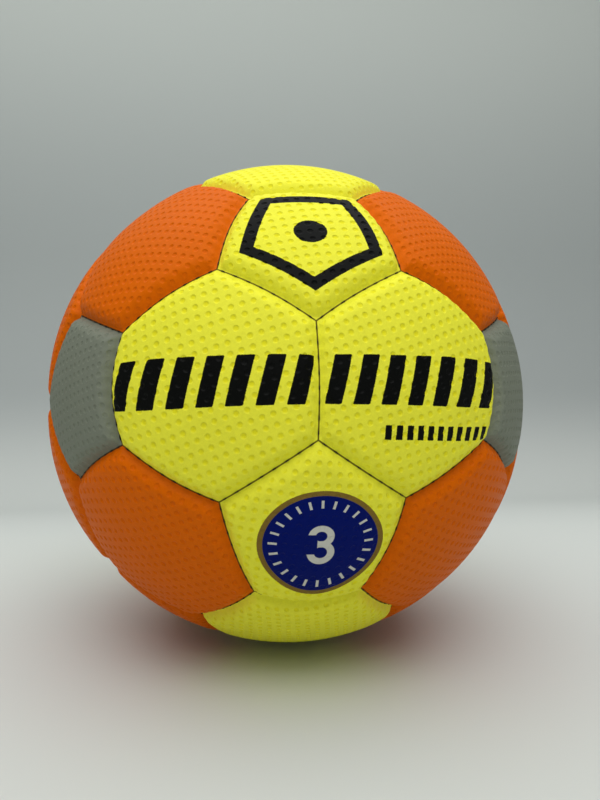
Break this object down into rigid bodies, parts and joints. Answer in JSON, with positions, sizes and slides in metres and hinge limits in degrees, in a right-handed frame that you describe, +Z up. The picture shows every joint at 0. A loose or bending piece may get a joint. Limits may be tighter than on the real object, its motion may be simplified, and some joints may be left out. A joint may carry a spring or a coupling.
{
  "type": "handball",
  "caption": "Hand-stitched inflated ball of dimpled pentagon and hexagon panels in yellow, orange and grey, with a bladder and a needle valve.",
  "frame": {"origin": "the centre of the ball", "axes": "+Z up as the ball lies in the picture, through the middle of a seam between two hexagons; -Y towards the viewer, through the middle of the seam between the two front hexagons; +X to the viewer's right"},
  "size_m": [0.1868, 0.1868, 0.1868],
  "materials": {
    "yellow_cover": "dimpled synthetic leather, semi-matt",
    "orange_cover": "dimpled synthetic leather, semi-matt",
    "grey_cover": "finely grained synthetic leather, semi-matt",
    "foam": "closed-cell foam",
    "lining": "plain-woven cotton and polyester, laminated",
    "thread": "waxed twisted thread",
    "latex": "natural latex, dusted",
    "valve_rubber": "moulded butyl rubber",
    "valve_core": "soft moulded rubber",
    "patch": "rubberised cloth"
  },
  "bodies": {
    "root": {"front_upper_pentagon": "yellow_cover", "front_lower_pentagon": "yellow_cover", "rear_upper_pentagon": "yellow_cover", "rear_lower_pentagon": "yellow_cover", "front_left_pentagon": "grey_cover", "front_right_pentagon": "grey_cover", "rear_left_pentagon": "grey_cover", "rear_right_pentagon": "grey_cover", "upper_left_pentagon": "orange_cover", "upper_right_pentagon": "orange_cover", "lower_left_pentagon": "orange_cover", "lower_right_pentagon": "orange_cover", "front_left_hexagon": "yellow_cover", "front_right_hexagon": "yellow_cover", "rear_left_hexagon": "yellow_cover", "rear_right_hexagon": "yellow_cover", "upper_front_hexagon": "yellow_cover", "upper_rear_hexagon": "yellow_cover", "lower_front_hexagon": "yellow_cover", "lower_rear_hexagon": "yellow_cover", "upper_left_hexagon": "orange_cover", "upper_right_hexagon": "orange_cover", "lower_left_hexagon": "orange_cover", "lower_right_hexagon": "orange_cover", "upper_front_left_hexagon": "orange_cover", "upper_front_right_hexagon": "orange_cover", "upper_rear_left_hexagon": "orange_cover", "upper_rear_right_hexagon": "orange_cover", "lower_front_left_hexagon": "orange_cover", "lower_front_right_hexagon": "orange_cover", "lower_rear_left_hexagon": "orange_cover", "lower_rear_right_hexagon": "orange_cover", "pentagon_foam": "foam", "hexagon_foam": "foam", "pentagon_lining": "lining", "hexagon_lining": "lining", "pentagon_seam_thread": "thread", "hexagon_seam_thread": "thread", "bladder": "latex", "valve_body": "valve_rubber", "valve_core": "valve_core", "valve_patch": "patch"}
  },
  "joints": []
}
